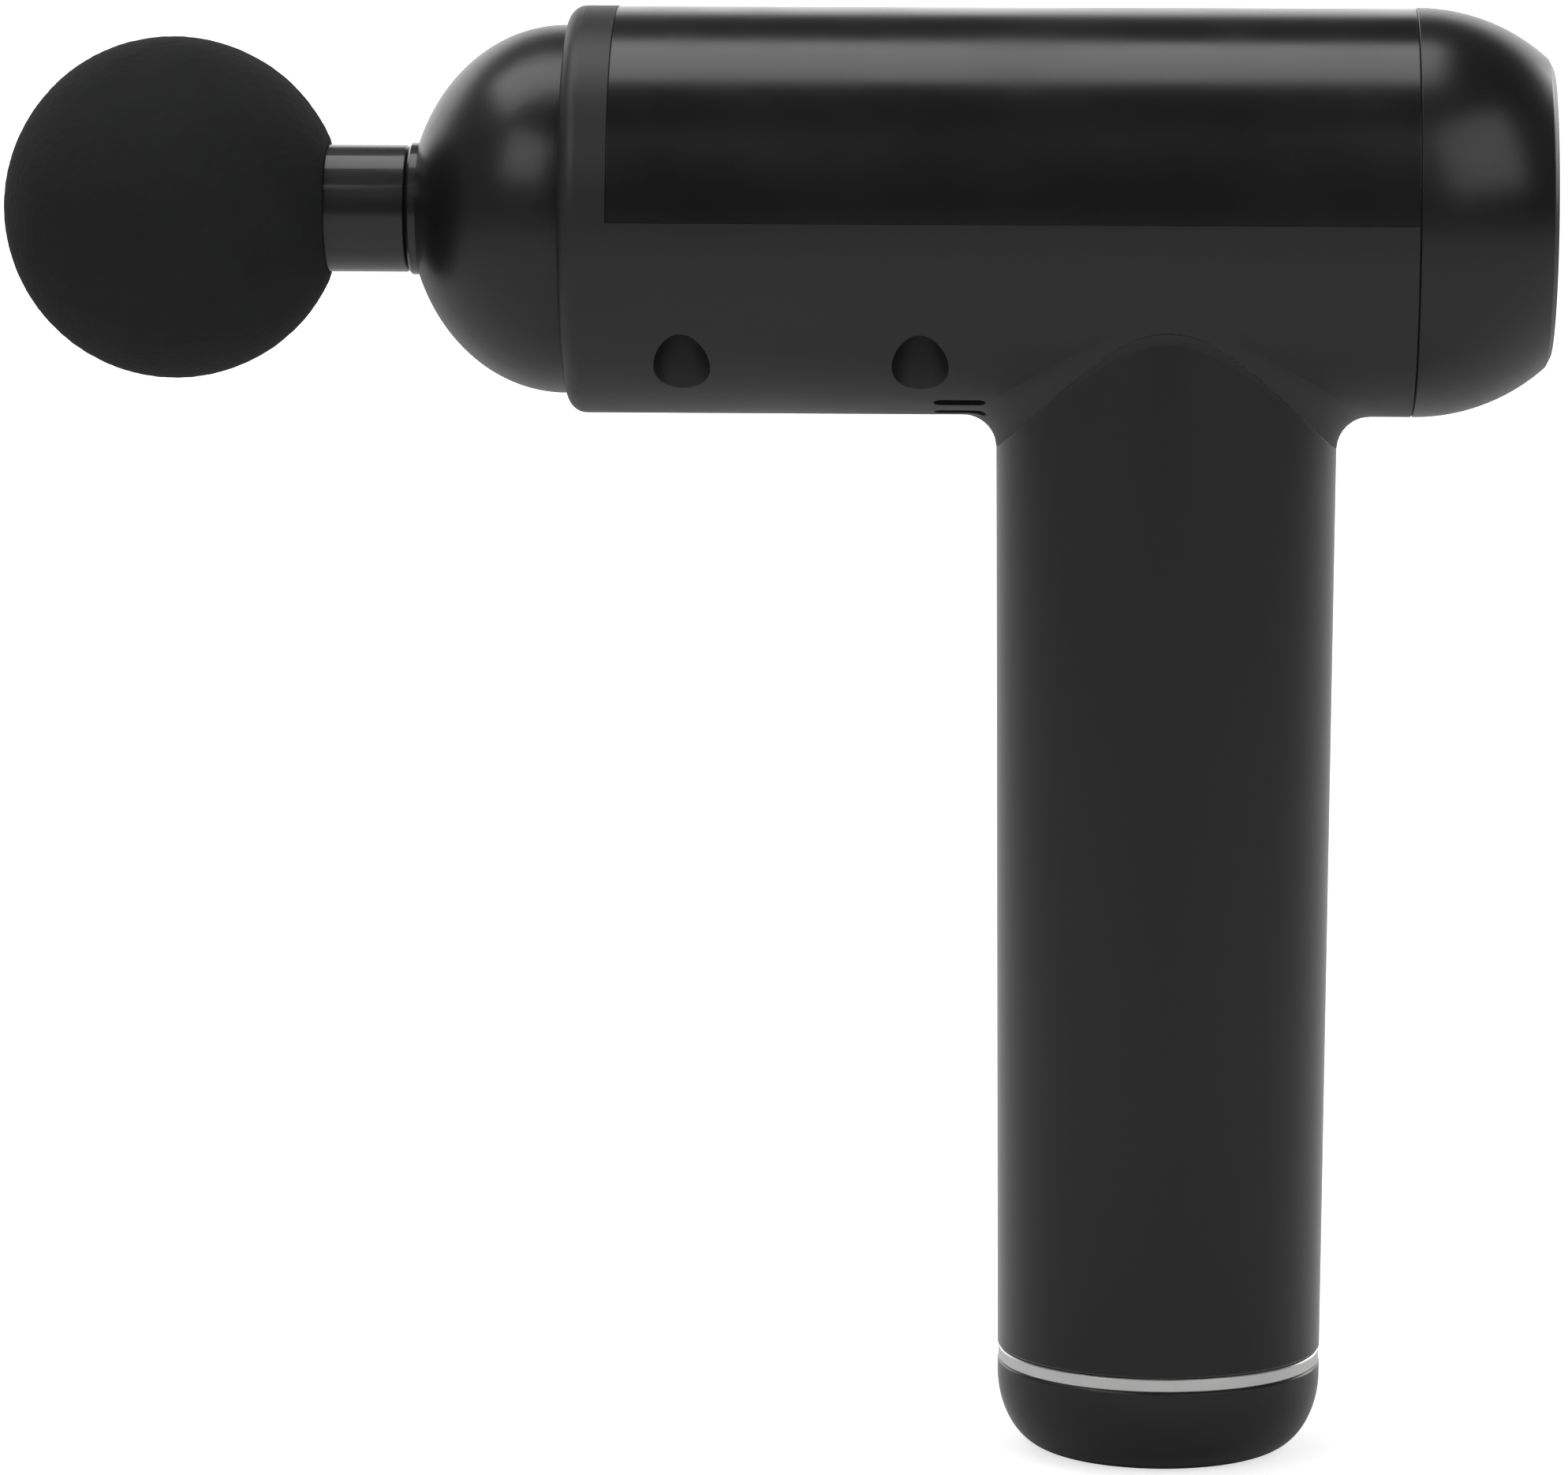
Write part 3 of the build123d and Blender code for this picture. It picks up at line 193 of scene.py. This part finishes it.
def lacquered(name, colour, rough):
    """Hard plastic polished by handling: a crisp gloss over a duller body, with fine lengthwise scuffs."""
    made = moulded(name, colour, rough, grain=0.04)
    nodes = made.node_tree.nodes
    links = made.node_tree.links
    out = nodes["Principled BSDF"]
    scuffs = object_noise(nodes, links, 1 / (1.2 * MM), 3.0, (0.12, 1, 1))
    gloss = spread(nodes, links, scuffs.outputs["Fac"], 0.08, 0.22, start=0.45, end=0.75)
    links.new(gloss, out.inputs["Coat Roughness"])
    out.inputs["Coat Weight"].default_value = 0.68
    out.inputs["Specular IOR Level"].default_value = 0.3
    return made


def metal(name, colour, rough, stretch=(1, 1, 1), grain_size=0.6 * MM, grain=0.05):
    """Metal with a brushed, turned or cast grain, set by the noise's stretch."""
    made, nodes, links, out = shader(name)
    grainy = object_noise(nodes, links, 1 / grain_size, 4.0, stretch)
    stain = object_noise(nodes, links, 1 / (9 * MM), 3.0)
    light = tuple(min(1, c * 1.15) for c in colour)
    links.new(tint(nodes, links, stain.outputs["Fac"], colour, light), out.inputs["Base Color"])
    gloss = spread(nodes, links, grainy.outputs["Fac"], rough - 0.07, rough + 0.08)
    links.new(gloss, out.inputs["Roughness"])
    links.new(bump(nodes, links, grainy.outputs["Fac"], grain, 0.05 * MM, 0.15 * MM), out.inputs["Normal"])
    out.inputs["Metallic"].default_value = 1
    return made


def foam(name):
    """Dense closed-cell foam: matt, with fine pores and a slightly mottled black."""
    made, nodes, links, out = shader(name)
    place = nodes.new("ShaderNodeTexCoord")
    pores = nodes.new("ShaderNodeTexVoronoi")
    pores.inputs["Scale"].default_value = 1 / (0.7 * MM)
    links.new(place.outputs["Object"], pores.inputs["Vector"])
    mottle = object_noise(nodes, links, 1 / (6 * MM), 5.0)
    fine = object_noise(nodes, links, 1 / (0.3 * MM), 3.0)
    shade = tint(nodes, links, mottle.outputs["Fac"], (0.017, 0.018, 0.0175), (0.0245, 0.0259, 0.0252))
    links.new(shade, out.inputs["Base Color"])
    cells = bump(nodes, links, pores.outputs["Distance"], 0.35, 0.12 * MM)
    links.new(bump(nodes, links, fine.outputs["Fac"], 0.3, 0.08 * MM, below=cells), out.inputs["Normal"])
    out.inputs["Roughness"].default_value = 0.95
    out.inputs["Specular IOR Level"].default_value = 0.2
    return made


def dark_cover(name):
    """Clear gloss cover printed black on its back, with faint fingerprints."""
    made, nodes, links, out = shader(name)
    prints = object_noise(nodes, links, 1 / (5 * MM), 6.0)
    shade = tint(nodes, links, prints.outputs["Fac"], (0.004, 0.004, 0.005), (0.008, 0.008, 0.009))
    links.new(shade, out.inputs["Base Color"])
    links.new(spread(nodes, links, prints.outputs["Fac"], 0.06, 0.16), out.inputs["Roughness"])
    out.inputs["Coat Weight"].default_value = 1
    out.inputs["Coat Roughness"].default_value = 0.04
    return made


def board(name):
    """Solder resist over glass cloth: a faint weave under a green gloss."""
    made, nodes, links, out = shader(name)
    place = nodes.new("ShaderNodeTexCoord")
    weave = nodes.new("ShaderNodeTexWave")
    weave.inputs["Scale"].default_value = 1 / (0.9 * MM)
    weave.inputs["Distortion"].default_value = 1.5
    links.new(place.outputs["Object"], weave.inputs["Vector"])
    mottle = object_noise(nodes, links, 1 / (4 * MM), 3.0)
    shade = tint(nodes, links, mottle.outputs["Fac"], (0.01, 0.09, 0.035), (0.02, 0.14, 0.055))
    links.new(shade, out.inputs["Base Color"])
    links.new(bump(nodes, links, weave.outputs["Fac"], 0.08, 0.05 * MM), out.inputs["Normal"])
    out.inputs["Roughness"].default_value = 0.35
    return made


def winding(name):
    """Enamelled copper wire laid in turns."""
    made, nodes, links, out = shader(name)
    place = nodes.new("ShaderNodeTexCoord")
    turns = nodes.new("ShaderNodeTexWave")
    turns.bands_direction = "Z"
    turns.inputs["Scale"].default_value = 1 / (1.6 * MM)
    links.new(place.outputs["Object"], turns.inputs["Vector"])
    shade = tint(nodes, links, turns.outputs["Fac"], (0.28, 0.07, 0.02), (0.62, 0.22, 0.08))
    links.new(shade, out.inputs["Base Color"])
    links.new(bump(nodes, links, turns.outputs["Fac"], 0.6, 0.15 * MM), out.inputs["Normal"])
    out.inputs["Metallic"].default_value = 0.8
    out.inputs["Roughness"].default_value = 0.3
    return made


MATERIALS = {
    "black_shell": moulded("satin_black_shell", (0.0068, 0.0072, 0.007), 0.22),
    "matte_shell": moulded("matte_black_shell", (0.0122, 0.0129, 0.0126), 0.46),
    "soft_grip": soft_touch("soft_touch_black", (0.0082, 0.0087, 0.0085), 0.42),
    "silver_trim": metal("satin_silver", (0.8, 0.8, 0.79), 0.4, (0.2, 0.2, 6)),
    "foam": foam("foam_black"),
    "neck_plastic": lacquered("smooth_black_neck", (0.006, 0.0064, 0.0062), 0.4),
    "black_rubber": moulded("black_rubber", (0.01, 0.01, 0.01), 0.7, grain=0.2, specular=0.35),
    "dark_glass": dark_cover("display_cover"),
    "board_green": board("circuit_board"),
    "module_plastic": moulded("grey_moulding", (0.03, 0.03, 0.032), 0.5),
    "screw_steel": metal("dark_zinc", (0.2, 0.2, 0.21), 0.4),
    "lead_insulation": moulded("red_insulation", (0.45, 0.02, 0.015), 0.45, grain=0.02),
    "cast_aluminium": metal("tumbled_casting", (0.55, 0.55, 0.56), 0.5, grain_size=0.8 * MM, grain=0.3),
    "bearing_steel": metal("ground_steel", (0.5, 0.5, 0.51), 0.25, (1, 1, 8)),
    "bush_bronze": metal("sintered_bronze", (0.5, 0.32, 0.14), 0.45, grain=0.2),
    "copper_winding": winding("copper_wire"),
    "rod_plastic": moulded("natural_acetal", (0.7, 0.68, 0.6), 0.4),
    "cell_wrap": moulded("blue_wrap", (0.02, 0.16, 0.28), 0.3, grain=0.03),
    "nickel": metal("nickel_plate", (0.6, 0.57, 0.52), 0.28),
}
DULLER_ENDS = ("nose_dome", "rear_cap")
END_PLASTIC = moulded("satin_black_ends", (0.0068, 0.0072, 0.007), 0.31)


def dress(piece, slot):
    """Gives a piece the material of a record slot."""
    piece.data.materials.clear()
    piece.data.materials.append(MATERIALS[slot])


def dress_cad_nodes():
    """Dresses every CAD node by its record slot. The two moulded ends are duller than the cover."""
    slots = {row["node"]: row["material_slot"] for row in frame["record"]["subparts"]}
    for name, piece in NODES.items():
        dress(piece, slots[name])
    for name in DULLER_ENDS:
        NODES[name].data.materials[0] = END_PLASTIC


# Pieces made here

def finish_piece(piece, body, slot, smooth=True):
    """Links a piece, dresses it and lets it ride on its body."""
    bpy.context.scene.collection.objects.link(piece)
    if smooth:
        piece.data.polygons.foreach_set("use_smooth", [True] * len(piece.data.polygons))
    dress(piece, slot)
    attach(piece, body)
    return piece


def foam_radius(direction, from_mouth):
    """Radius of the foam skin in a direction, with pores, a parting ridge and a lip round the mouth."""
    place = direction * BALL_RADIUS
    pores = noise.noise(place / PORE_SIZE) * PORE_HEIGHT
    slow = noise.noise(place / SWELL_SIZE) * SWELL_HEIGHT
    ridge = math.exp(-((place.y / RIDGE_WIDTH) ** 2)) * RIDGE_HEIGHT
    lip = math.exp(-((from_mouth * BALL_RADIUS / LIP_WIDTH) ** 2)) * LIP_DROP
    return BALL_RADIUS - SKIN_DEPTH - lip + ridge + pores + slow


def foam_ball():
    """Moulded foam ball: open pores, a faint parting ridge and a rounded mouth where the neck goes in."""
    neck = reach("plunger", 1) - NECK_STEP
    start = math.asin((neck + NECK_GAP) / BALL_RADIUS)
    verts = []
    for i in range(BALL_RINGS):
        angle = start + (math.pi - start) * i / BALL_RINGS
        for j in range(BALL_AROUND):
            turn = 2 * math.pi * j / BALL_AROUND
            direction = Vector((
                math.cos(angle),
                math.sin(angle) * math.cos(turn),
                math.sin(angle) * math.sin(turn),
            ))
            verts.append(BALL + direction * foam_radius(direction, angle - start))
    faces = []
    for i in range(BALL_RINGS - 1):
        row = i * BALL_AROUND
        for j in range(BALL_AROUND):
            k = (j + 1) % BALL_AROUND
            faces.append((row + j, row + k, row + BALL_AROUND + k, row + BALL_AROUND + j))
    pole = len(verts)
    verts.append(BALL + Vector((-1, 0, 0)) * (BALL_RADIUS - SKIN_DEPTH))
    last = (BALL_RINGS - 1) * BALL_AROUND
    for j in range(BALL_AROUND):
        faces.append((last + j, last + (j + 1) % BALL_AROUND, pole))
    inner = len(verts)
    depth = BALL.x + BALL_RADIUS * math.cos(start) - MOUTH_DEPTH
    for j in range(BALL_AROUND):
        turn = 2 * math.pi * j / BALL_AROUND
        verts.append(Vector((depth, BALL.y + neck * math.cos(turn), BALL.z + neck * math.sin(turn))))
    for j in range(BALL_AROUND):
        k = (j + 1) % BALL_AROUND
        faces.append((inner + j, inner + k, k, j))
    mesh = bpy.data.meshes.new("foam_ball")
    mesh.from_pydata([tuple(v) for v in verts], [], faces)
    ball = bpy.data.objects.new("foam_ball", mesh)
    finish_piece(ball, "head", "foam")
    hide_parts("head_ball")
    return ball


def bar_outline(half_length, angle):
    """Flat bar with round ends, turned by an angle."""
    outline = []
    for end in (1, -1):
        for i in range(9):
            turn = math.pi * (i / 8 - 0.5)
            along = end * (half_length + MARK_HALF_WIDTH * math.cos(turn))
            across = end * MARK_HALF_WIDTH * math.sin(turn)
            outline.append((
                along * math.cos(angle) - across * math.sin(angle),
                along * math.sin(angle) + across * math.cos(angle),
            ))
    return outline


def plus_outline(half_length):
    """Flat upright plus sign."""
    thin = MARK_HALF_WIDTH
    corner = [(half_length, -thin), (half_length, thin), (thin, thin)]
    outline = []
    for quarter in range(4):
        for y, z in corner:
            for _ in range(quarter):
                y, z = -z, y
            outline.append((y, z))
    return outline


def arc_marks(count, middle_degrees, ring, half_length):
    """Bars on an arc round the display, each pointing at its middle, with the place of each."""
    marks = []
    for i in range(count):
        angle = math.radians(middle_degrees + (i - (count - 1) / 2) * MARK_SPACING)
        place = (ring * math.cos(angle), ring * math.sin(angle))
        marks.append((place, bar_outline(half_length, angle)))
    return marks


def display_marks():
    """Printed marks on the rear cover: plus and minus, five speed bars and four charge dots."""
    cover = middle("display_lens")
    face_x = cover.x + reach("display_lens", 0)
    ring = reach("display_lens", 1) * MARK_RING
    marks = [((0, ring), plus_outline(1.7 * MM)), ((0, -ring), bar_outline(1.4 * MM, 0))]
    marks += arc_marks(SPEED_BARS, 180, ring, 0.9 * MM)
    marks += arc_marks(CHARGE_DOTS, 0, ring, 0.1 * MM)
    verts = []
    faces = []
    for (y, z), outline in marks:
        first = len(verts)
        count = len(outline)
        for x in (face_x - MARK_SUNK, face_x + MARK_PROUD):
            for across, up in outline:
                verts.append((x, cover.y + y + across, cover.z + z + up))
        faces.append([first + i for i in reversed(range(count))])
        faces.append([first + count + i for i in range(count)])
        for i in range(count):
            k = (i + 1) % count
            faces.append((first + i, first + k, first + count + k, first + count + i))
    mesh = bpy.data.meshes.new("display_marks")
    mesh.from_pydata(verts, [], faces)
    made = bpy.data.objects.new("display_marks", mesh)
    return finish_piece(made, "housing", "silver_trim", smooth=False)


# Stage

def floor():
    """Pale sweep that the gun stands on, lifted to white for the eye only, so that shadows stay soft."""
    made = bpy.data.materials.new("pale_floor")
    made.use_nodes = True
    nodes = made.node_tree.nodes
    links = made.node_tree.links
    out = nodes["Principled BSDF"]
    cloud = object_noise(nodes, links, 1 / 0.6, 3.0)
    shade = tint(nodes, links, cloud.outputs["Fac"], (0.78, 0.78, 0.78), (0.82, 0.82, 0.82))
    links.new(shade, out.inputs["Base Color"])
    out.inputs["Roughness"].default_value = 0.85
    out.inputs["Specular IOR Level"].default_value = 0.1
    place = nodes.new("ShaderNodeTexCoord")
    length = nodes.new("ShaderNodeVectorMath")
    length.operation = "LENGTH"
    links.new(place.outputs["Object"], length.inputs[0])
    lift = spread(nodes, links, length.outputs["Value"], 0.7, 1.1, 0.15, 1.3)
    ray = nodes.new("ShaderNodeLightPath")
    seen = nodes.new("ShaderNodeMath")
    seen.operation = "MULTIPLY"
    links.new(ray.outputs["Is Camera Ray"], seen.inputs[0])
    links.new(lift, seen.inputs[1])
    out.inputs["Emission Color"].default_value = (1, 1, 1, 1)
    links.new(seen.outputs["Value"], out.inputs["Emission Strength"])
    bpy.ops.mesh.primitive_plane_add(size=60, location=(0, 0, 0))
    plane = bpy.context.object
    plane.name = "floor"
    plane.data.materials.append(made)


def ramp(nodes, links, source, start, end, low, high):
    """Smooth step of a world direction."""
    made = nodes.new("ShaderNodeMapRange")
    made.interpolation_type = "SMOOTHSTEP"
    made.inputs["From Min"].default_value = start
    made.inputs["From Max"].default_value = end
    made.inputs["To Min"].default_value = low
    made.inputs["To Max"].default_value = high
    links.new(source, made.inputs["Value"])
    return made.outputs["Result"]


def surroundings():
    """White all round for the eye; to the object, a low white wall behind and a dim room in front."""
    world = bpy.data.worlds.new("studio")
    bpy.context.scene.world = world
    world.use_nodes = True
    nodes = world.node_tree.nodes
    links = world.node_tree.links
    nodes.clear()
    place = nodes.new("ShaderNodeTexCoord")
    split = nodes.new("ShaderNodeSeparateXYZ")
    links.new(place.outputs["Generated"], split.inputs["Vector"])
    behind = ramp(nodes, links, split.outputs["Y"], 0.45, 0.7, 0, WALL_GLOW)
    low = ramp(nodes, links, split.outputs["Z"], 0.42, 0.58, 1, 0)
    wall = nodes.new("ShaderNodeMath")
    wall.operation = "MULTIPLY_ADD"
    links.new(behind, wall.inputs[0])
    links.new(low, wall.inputs[1])
    links.new(ramp(nodes, links, split.outputs["X"], -0.8, 0.0, ROOM_GLOW * 2.5, ROOM_GLOW), wall.inputs[2])
    room = nodes.new("ShaderNodeBackground")
    links.new(wall.outputs["Value"], room.inputs["Strength"])
    seen = nodes.new("ShaderNodeBackground")
    seen.inputs["Color"].default_value = (1, 1, 1, 1)
    ray = nodes.new("ShaderNodeLightPath")
    mix = nodes.new("ShaderNodeMixShader")
    links.new(ray.outputs["Is Camera Ray"], mix.inputs["Fac"])
    links.new(room.outputs["Background"], mix.inputs[1])
    links.new(seen.outputs["Background"], mix.inputs[2])
    out = nodes.new("ShaderNodeOutputWorld")
    links.new(mix.outputs["Shader"], out.inputs["Surface"])


def softbox(name, direction, distance, width, height, radiance):
    """Area light seen from the barrel in a direction, as bright as radiance."""
    lamp = bpy.data.lights.new(name, "AREA")
    lamp.shape = "RECTANGLE"
    lamp.size = width
    lamp.size_y = height
    lamp.energy = radiance * math.pi * width * height
    made = bpy.data.objects.new(name, lamp)
    bpy.context.scene.collection.objects.link(made)
    towards = Vector(direction).normalized()
    upright = Vector((0, 1, 0)) if towards.z > 0.8 else Vector((0, 0, 1))
    across = upright.cross(towards).normalized()
    turn = Matrix((across, towards.cross(across), towards)).transposed()
    place = Vector((BARREL_MIDDLE, 0, AXIS)) + towards * distance
    made.matrix_world = Matrix.Translation(place) @ turn.to_4x4()
    made.visible_camera = False


def lights():
    """Wide soft light from above, a fill on each side and a low light behind."""
    softbox("overhead", (-0.27, 0.13, 1), 1.3, 1.35, 0.78, 2.75)
    softbox("right_fill", (0.95, -0.98, 0.9), 1.6, 1.4, 1.1, 1.4)
    softbox("left_fill", (-0.58, -0.8, 0.66), 1.5, 0.9, 0.7, 1.9)
    softbox("rim", (0.62, 0.73, 0.3), 1.5, 0.4, 0.4, 3.0)


def camera():
    """Stands 1.15 m in front, a little above the barrel and a touch to the nose side."""
    data = bpy.data.cameras.new("camera")
    data.lens = 165.05
    data.sensor_width = 36
    data.clip_start = 0.05
    data.clip_end = 100
    made = bpy.data.objects.new("camera", data)
    bpy.context.scene.collection.objects.link(made)
    forward = Vector((-0.04524, 0.98898, -0.14096)).normalized()
    right = Vector((0.99895, 0.04589, 0.0014)).normalized()
    up = right.cross(forward)
    turn = Matrix((right, up, -forward)).transposed()
    made.matrix_world = Matrix.Translation(Vector((-0.00873, -1.15353, AXIS + 0.07887))) @ turn.to_4x4()
    bpy.context.scene.camera = made


camera()
dress_cad_nodes()
foam_ball()
display_marks()
floor()
surroundings()
lights()
bpy.context.scene.view_settings.view_transform = "Standard"
